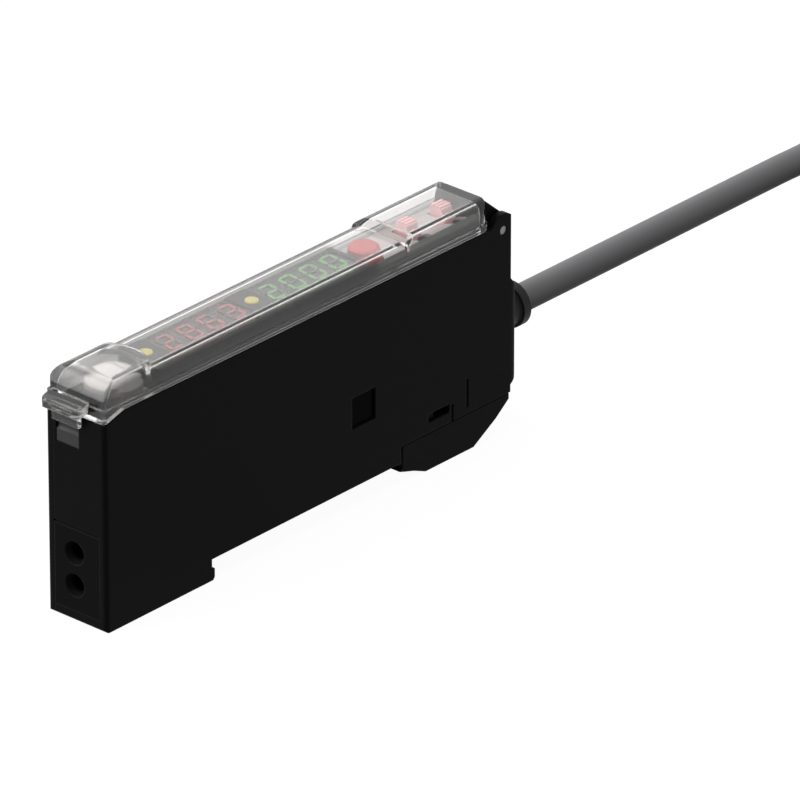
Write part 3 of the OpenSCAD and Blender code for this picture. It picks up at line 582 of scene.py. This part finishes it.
def buildPaintedEdge(s):
    # mask = how far the rounded normal turns from the flat one, broken up by noise along the edges;
    # the materials paint an edge highlight or edge shade through it
    tree, gin, gout = newGroup("rimWear", {"Radius": 0.0002, "Break": 0.5},
                               {"Mask": "NodeSocketFloat", "Normal": "NodeSocketVector"})
    bevel = addNode(tree, "ShaderNodeBevel", samples=s["samples"])
    tree.links.new(gin.outputs["Radius"], bevel.inputs["Radius"])
    flat = addNode(tree, "ShaderNodeNewGeometry").outputs["Normal"]
    dot = addNode(tree, "ShaderNodeVectorMath", operation="DOT_PRODUCT")
    tree.links.new(bevel.outputs["Normal"], dot.inputs[0])
    tree.links.new(flat, dot.inputs[1])
    away = mathNode(tree, "SUBTRACT", 1.0, dot.outputs["Value"])
    turned = mathNode(tree, "MULTIPLY", away, s["gain"], clamp=True)
    where = addNode(tree, "ShaderNodeTexCoord").outputs["Object"]
    noise = noiseNode(tree, where, s["noise"], s["detail"])
    broken = mathNode(tree, "MULTIPLY", noise, gin.outputs["Break"])
    whole = mathNode(tree, "SUBTRACT", 1.0, broken)
    tree.links.new(mathNode(tree, "MULTIPLY", turned, whole, clamp=True), gout.inputs["Mask"])
    tree.links.new(bevel.outputs["Normal"], gout.inputs["Normal"])
    return tree


grainGroup, rimGroup = buildGrain(grainSettings), buildPaintedEdge(rimSettings)


def useGroup(tree, group, **values):
    node = addNode(tree, "ShaderNodeGroup", node_tree=group)
    setInputs(node, values)
    return node.outputs


def newMaterial(name):
    mat = bpy.data.materials.new(name)
    mat.use_nodes = True
    tree = mat.node_tree
    return mat, tree, tree.nodes["Principled BSDF"]


def addBump(tree, bsdf, height, strength, distance, normal=None):
    bump = addNode(tree, "ShaderNodeBump")
    setInputs(bump, {"Strength": strength, "Distance": distance})
    tree.links.new(height, bump.inputs["Height"])
    if normal is not None:
        tree.links.new(normal, bump.inputs["Normal"])
    tree.links.new(bump.outputs["Normal"], bsdf.inputs["Normal"])


mouldedDefaults = {
    "rim": None,  # painted highlight colour of the edges, or a little lighter than the rest
    "rough": 0.5,
    "spread": 0.1,
    "specular": 0.5,
    "metal": 0.0,
    "grain": 4000.0,
    "coarse": 0.4,
    "bump": 0.15,
    "depth": 0.00004,
    "bevel": 0.0002,
    "tone": 0.12,
    "lighter": (1.25, 0.01),  # painted edge highlight: times the colour, plus
    "glow": None,
}


def moulded(name, **changes):
    # a moulded or machined surface: colour drifts a little, a painted highlight lightens the edges,
    # grain in the bump and roughness
    s = {**mouldedDefaults, **changes}
    mat, tree, bsdf = newMaterial(name)
    grain = useGroup(tree, grainGroup, Scale=s["grain"], Coarse=s["coarse"])
    rim = useGroup(tree, rimGroup, Radius=s["bevel"])
    color = np.asarray(s["color"], float)
    dark, light = tuple(color * (1 - s["tone"])), tuple(np.minimum(color * (1 + s["tone"]), 1))
    base = mixColor(tree, grain["Tone"], dark, light)
    # painted highlight: the edge colour is mixed in along the edges
    times, plus = s["lighter"]
    edge = s["rim"] if s["rim"] else tuple(np.minimum(color * times + plus, 1))
    tree.links.new(mixColor(tree, rim["Mask"], base, edge), bsdf.inputs["Base Color"])
    rough = scaleRange(tree, grain["Height"], s["rough"] - s["spread"], s["rough"] + s["spread"])
    tree.links.new(rough, bsdf.inputs["Roughness"])
    addBump(tree, bsdf, grain["Height"], s["bump"], s["depth"], rim["Normal"])
    setInputs(bsdf, {"Specular IOR Level": s["specular"], "Metallic": s["metal"]})
    if s["glow"]:
        setInputs(bsdf, {"Emission Color": (*s["glow"][:3], 1.0), "Emission Strength": s["glow"][3]})
    return mat


clearSettings = {
    "top": (0.96, 0.95, 0.94),
    # painted shade: the wall, solid and edge colours darken the clear cover's walls, flange, finger
    # tab and edges
    "wall": (0.25, 0.245, 0.24),
    "rearWallShade": (0.8, 0.79, 0.78),  # lighter painted shade on the walls round the control plate
    "solidShade": (0.26, 0.255, 0.25),
    "edge": (0.24, 0.235, 0.23),
    "flangeZ": (0.0304, 0.0312),  # from all to none of it
    "tabX": (-0.0400, -0.0390),
    "domeX": (-0.0290, -0.0275),
    "rearX": (0.0105, 0.0125),  # from none to all of it
    "polish": (0.03, 0.08),
    "domeRough": 0.07,
    "bevel": 0.00025,
    "ripple": {"Scale": 500.0, "Coarse": 0.5},
    "bump": 0.03,
    "depth": 0.0001,
    "ior": 1.46,
}


def clearPaintedShade(name, s):
    # clear plastic with a trace of smoke on its top, rounded edges and a faint moulding ripple;
    # walls, flange, finger tab and edges are darkened as painted shade
    mat, tree, bsdf = newMaterial(name)
    rim = useGroup(tree, rimGroup, Radius=s["bevel"])
    grain = useGroup(tree, grainGroup, **s["ripple"])
    addBump(tree, bsdf, grain["Height"], s["bump"], s["depth"], rim["Normal"])
    # painted shade: the top is left nearly clear, the walls are tinted dark, less so round the
    # control plate, and the flange and finger tab about as dark as the walls
    coords = addNode(tree, "ShaderNodeTexCoord")
    turn, where = (addNode(tree, "ShaderNodeSeparateXYZ") for _ in range(2))
    tree.links.new(coords.outputs["Normal"], turn.inputs[0])
    tree.links.new(coords.outputs["Object"], where.inputs[0])
    upright = mathNode(tree, "MULTIPLY", turn.outputs["Z"], turn.outputs["Z"])
    flange = scaleRange(tree, where.outputs["Z"], 1.0, 0.0, *s["flangeZ"])
    tab = scaleRange(tree, where.outputs["X"], 1.0, 0.0, *s["tabX"])
    dome = scaleRange(tree, where.outputs["X"], 1.0, 0.0, *s["domeX"])
    rear = scaleRange(tree, where.outputs["X"], 0.0, 1.0, *s["rearX"])
    tint = mixColor(tree, upright, mixColor(tree, rear, s["wall"], s["rearWallShade"]), s["top"])
    tint = mixColor(tree, mathNode(tree, "MAXIMUM", flange, tab), tint, s["solidShade"])
    # the edges are darkened further as painted shade
    tree.links.new(mixColor(tree, rim["Mask"], tint, s["edge"]), bsdf.inputs["Base Color"])
    frost = mathNode(tree, "MULTIPLY", dome, s["domeRough"])
    polish = scaleRange(tree, grain["Tone"], *s["polish"])
    tree.links.new(mathNode(tree, "ADD", polish, frost), bsdf.inputs["Roughness"])
    setInputs(bsdf, {"Transmission Weight": 1.0, "IOR": s["ior"]})
    return mat


figureSettings = {
    "grain": {"Scale": 3000.0, "Coarse": 0.3},
    "rough": (0.25, 0.4),
    "glow": 0.5,  # of the lit colour
}


def litDigits(name, lit, unlit, s=figureSettings):
    # each bar shows its lit or its unlit colour from the piece's own attribute
    mat, tree, bsdf = newMaterial(name)
    flag = addNode(tree, "ShaderNodeAttribute", attribute_name="lit").outputs["Fac"]
    grain = useGroup(tree, grainGroup, **s["grain"])
    tree.links.new(mixColor(tree, flag, unlit, lit), bsdf.inputs["Base Color"])
    glow = mixColor(tree, flag, (0.0, 0.0, 0.0), tuple(np.asarray(lit) * s["glow"]))
    tree.links.new(glow, bsdf.inputs["Emission Color"])
    bsdf.inputs["Emission Strength"].default_value = 1.0
    tree.links.new(scaleRange(tree, grain["Tone"], *s["rough"]), bsdf.inputs["Roughness"])
    return mat


jacketSettings = {
    "stretch": (40.0, 30.0, 1.0),  # of the lines, round the cable and along it
    "detail": 3.0,
    "lines": ((0.19, 0.19, 0.195), (0.245, 0.245, 0.251)),
    "drift": (0.212, 0.213, 0.219),
    "grain": {"Scale": 5000.0, "Coarse": 0.6},
    "rough": (0.38, 0.6),
    "specular": 0.04,
    "lineShare": 0.5,  # of the lines in the bump
    "bump": 0.12,
    "depth": 0.00005,
}


def cableJacket(name, s):
    # pvc jacket: long extrusion lines along the cable, a slow drift of tone, matt grain
    mat, tree, bsdf = newMaterial(name)
    uv = addNode(tree, "ShaderNodeUVMap", uv_map="surface").outputs["UV"]
    stretch = addNode(tree, "ShaderNodeMapping")
    stretch.inputs["Scale"].default_value = s["stretch"]
    tree.links.new(uv, stretch.inputs["Vector"])
    lines = noiseNode(tree, stretch.outputs["Vector"], 1.0, s["detail"])
    grain = useGroup(tree, grainGroup, **s["grain"])
    base = mixColor(tree, lines, *s["lines"])
    tree.links.new(mixColor(tree, grain["Tone"], base, s["drift"]), bsdf.inputs["Base Color"])
    bsdf.inputs["Specular IOR Level"].default_value = s["specular"]
    tree.links.new(scaleRange(tree, grain["Height"], *s["rough"]), bsdf.inputs["Roughness"])
    share = mathNode(tree, "MULTIPLY", lines, s["lineShare"])
    addBump(tree, bsdf, mathNode(tree, "ADD", share, grain["Height"]), s["bump"], s["depth"])
    return mat


boardSettings = {
    "tracks": {"Scale": 300.0, "Mortar Size": 0.03, "Color1": (0.012, 0.10, 0.045, 1),
               "Color2": (0.010, 0.085, 0.038, 1), "Mortar": (0.03, 0.17, 0.075, 1)},
    "grain": {"Scale": 2500.0, "Coarse": 0.3},
    "rough": (0.25, 0.4),
}


def circuitBoard(name, s):
    # solder mask over copper: straight tracks as the thin joints of a brick pattern
    mat, tree, bsdf = newMaterial(name)
    tracks = addNode(tree, "ShaderNodeTexBrick")
    setInputs(tracks, s["tracks"])
    where = addNode(tree, "ShaderNodeTexCoord").outputs["Object"]
    tree.links.new(where, tracks.inputs["Vector"])
    tree.links.new(tracks.outputs["Color"], bsdf.inputs["Base Color"])
    grain = useGroup(tree, grainGroup, **s["grain"])
    tree.links.new(scaleRange(tree, grain["Height"], *s["rough"]), bsdf.inputs["Roughness"])
    return mat


def grey(level):
    return (level, level, level)


displayFilm = {"rough": 0.25, "spread": 0.05, "bump": 0.05, "specular": 0.3}
coreSheath = {"rough": 0.4, "bump": 0.1}

finishes = {
    # the case and the port face get their own painted edge highlight colours
    "black_case": moulded("blackCase", color=(0.0032, 0.0032, 0.0033), rim=grey(0.008), rough=0.45,
                          specular=0.035, grain=5200.0, bump=0.22, bevel=0.00028),
    "port_black": moulded("portBlack", color=(0.0032, 0.0032, 0.0033), rim=grey(0.035), rough=0.5,
                          specular=0.03, grain=4200.0, bump=0.25, bevel=0.00025),
    "gland_rubber": moulded("glandRubber", color=grey(0.01), rough=0.5, specular=0.2, bump=0.3,
                            bevel=0.0003),
    "lever_grey": moulded("leverPlastic", color=(0.78, 0.75, 0.73), rough=0.35, bevel=0.0003),
    "panel_grey": moulded("panelPlastic", color=grey(0.012), rough=0.45, specular=0.2,
                          bevel=0.00015),
    "plate_pale": moulded("plateFilm", color=(0.5, 0.455, 0.445), rough=0.4, bevel=0.00012),
    "button_red": moulded("buttonRed", color=(0.52, 0.055, 0.065), rough=0.35, bevel=0.0002),
    "switch_pale": moulded("switchPale", color=(0.86, 0.8, 0.79), rough=0.4),
    "knob_pink": moulded("knobPink", color=(0.95, 0.5, 0.52), rough=0.35, bevel=0.00015),
    "display_red": moulded("displayRed", color=(0.030, 0.013, 0.013), **displayFilm),
    "display_green": moulded("displayGreen", color=(0.013, 0.024, 0.014), **displayFilm),
    "digits_red": litDigits("digitsRed", (0.18, 0.022, 0.018), (0.028, 0.013, 0.012)),
    "digits_green": litDigits("digitsGreen", (0.05, 0.16, 0.028), (0.014, 0.024, 0.014)),
    "amber_lamp": moulded("amberLamp", color=(0.34, 0.28, 0.03), rough=0.25,
                          glow=(0.30, 0.25, 0.02, 0.6)),
    "smoked_clear": clearPaintedShade("clearPaintedShade", clearSettings),
    "red_lens": moulded("redLens", color=(0.45, 0.05, 0.05), rough=0.15, bump=0.03),
    "dark_lens": moulded("darkLens", color=(0.0018, 0.001, 0.0012), rough=0.3, spread=0.06,
                         specular=0.01, bump=0.05, bevel=0.0001),
    "cable_grey": cableJacket("cableGrey", jacketSettings),
    "tie_black": moulded("tieBlack", color=grey(0.012), rough=0.45, bevel=0.0002),
    "board_green": circuitBoard("boardGreen", boardSettings),
    "chip_black": moulded("chipBlack", color=(0.012, 0.012, 0.013), rough=0.55, bump=0.3),
    "steel": moulded("steelBright", color=(0.62, 0.62, 0.61), rough=0.28, metal=1.0, bump=0.08),
    "pin_dark": moulded("pinDark", color=grey(0.3), rough=0.55, metal=0.6, bump=0.1, bevel=0.0001),
    # catch plate under the finger tab: grey plastic a little lighter than the case, its colour also
    # painting in the patch of light under the tab
    "catch_grey": moulded("catchGrey", color=grey(0.022), rough=0.45, specular=0.3, bevel=0.00015),
    "tin": moulded("tinPlate", color=(0.66, 0.66, 0.65), rough=0.35, metal=1.0, bump=0.1),
    "capacitor": moulded("capacitorCan", color=(0.55, 0.50, 0.34), rough=0.4, metal=0.4),
    "core_brown": moulded("coreBrown", color=(0.10, 0.04, 0.018), **coreSheath),
    "core_blue": moulded("coreBlue", color=(0.02, 0.07, 0.42), **coreSheath),
    "core_black": moulded("coreBlack", color=(0.010, 0.010, 0.011), **coreSheath),
    "core_white": moulded("coreWhite", color=(0.75, 0.75, 0.74), **coreSheath),
    "copper": moulded("copperStrands", color=(0.72, 0.36, 0.19), rough=0.3, metal=1.0, bump=0.2),
}


def dress(obj, mat):
    if not obj.material_slots:
        obj.data.materials.append(mat)
    for slot in obj.material_slots:
        slot.material = mat


dressed = [(nodes[part["node"]], part["material_slot"]) for part in frame["record"]["subparts"]]
dressed += [(cable, "cable_grey"), (redDigits, "digits_red"), (greenDigits, "digits_green"),
            (strands, "copper"), (spring, "steel")]
dressed += [(piece, "core_" + name) for piece, name in zip(leads, leadSettings["names"])]
dressed += [(piece, "tie_black") for piece in ties]
for piece, slot in dressed:
    dress(piece, finishes[slot])
print("finishes given:", len(finishes))


# floor, lights and the white around them
stageSettings = {
    "floorSize": 6.0,
    "floorColor": 0.15,
    "floorShare": 0.45,  # of the floor seen as plain white
    "floorWhite": 2.12,
    "worldLevel": 0.22,
    "lamps": [
        {"name": "topBox", "place": (-0.15, -0.1, 0.95), "aim": (0.0, 0.0, 0.02),
         "size": 0.7, "power": 3.6},
        {"name": "backBox", "place": (0.75, 0.68, 0.62), "aim": (0.0, 0.0, 0.02),
         "size": 1.1, "power": 2.0},
        {"name": "noseBox", "place": (-0.55, 0.6, 0.5), "aim": (-0.03, 0.0, 0.03),
         "size": 0.9, "power": 9.0},
    ],
}


def seenRays(tree):  # seen by the camera, in a reflection or through the clear cover
    path = addNode(tree, "ShaderNodeLightPath").outputs
    glassy = mathNode(tree, "MAXIMUM", path["Is Glossy Ray"], path["Is Transmission Ray"])
    return mathNode(tree, "MAXIMUM", path["Is Camera Ray"], glassy)


def makeFloor(s):
    half = s["floorSize"] / 2
    corners = [(-half, -half, 0), (half, -half, 0), (half, half, 0), (-half, half, 0)]
    floor = makePiece("floor", corners, [(0, 1, 2, 3)])
    mat, tree, bsdf = newMaterial("floorPaper")
    tree.nodes.remove(bsdf)
    kinds = ("ShaderNodeBsdfDiffuse", "ShaderNodeEmission", "ShaderNodeMixShader")
    paper, white, mix = (addNode(tree, kind) for kind in kinds)
    paper.inputs["Color"].default_value = (*grey(s["floorColor"]), 1)
    white.inputs["Strength"].default_value = s["floorWhite"]
    share = mathNode(tree, "MULTIPLY", seenRays(tree), s["floorShare"])
    tree.links.new(share, mix.inputs["Fac"])
    tree.links.new(paper.outputs[0], mix.inputs[1])
    tree.links.new(white.outputs[0], mix.inputs[2])
    tree.links.new(mix.outputs[0], tree.nodes["Material Output"].inputs["Surface"])
    floor.data.materials.append(mat)


def makeWorld(s):
    world = bpy.data.worlds.new("studio")
    bpy.context.scene.world = world
    world.use_nodes = True
    tree = world.node_tree
    fill = tree.nodes["Background"]
    fill.inputs["Color"].default_value = (1, 1, 1, 1)
    level = mathNode(tree, "MAXIMUM", seenRays(tree), s["worldLevel"])
    tree.links.new(level, fill.inputs["Strength"])


def makeLamp(s):
    data = bpy.data.lights.new(s["name"], "AREA")
    data.energy, data.size = s["power"], s["size"]
    lamp = linked(bpy.data.objects.new(s["name"], data))
    lamp.location = s["place"]
    back = Vector(s["place"]) - Vector(s["aim"])
    lamp.rotation_euler = back.to_track_quat("Z", "Y").to_euler()


makeFloor(stageSettings)
makeWorld(stageSettings)
for one in stageSettings["lamps"]:
    makeLamp(one)
print("stage set")
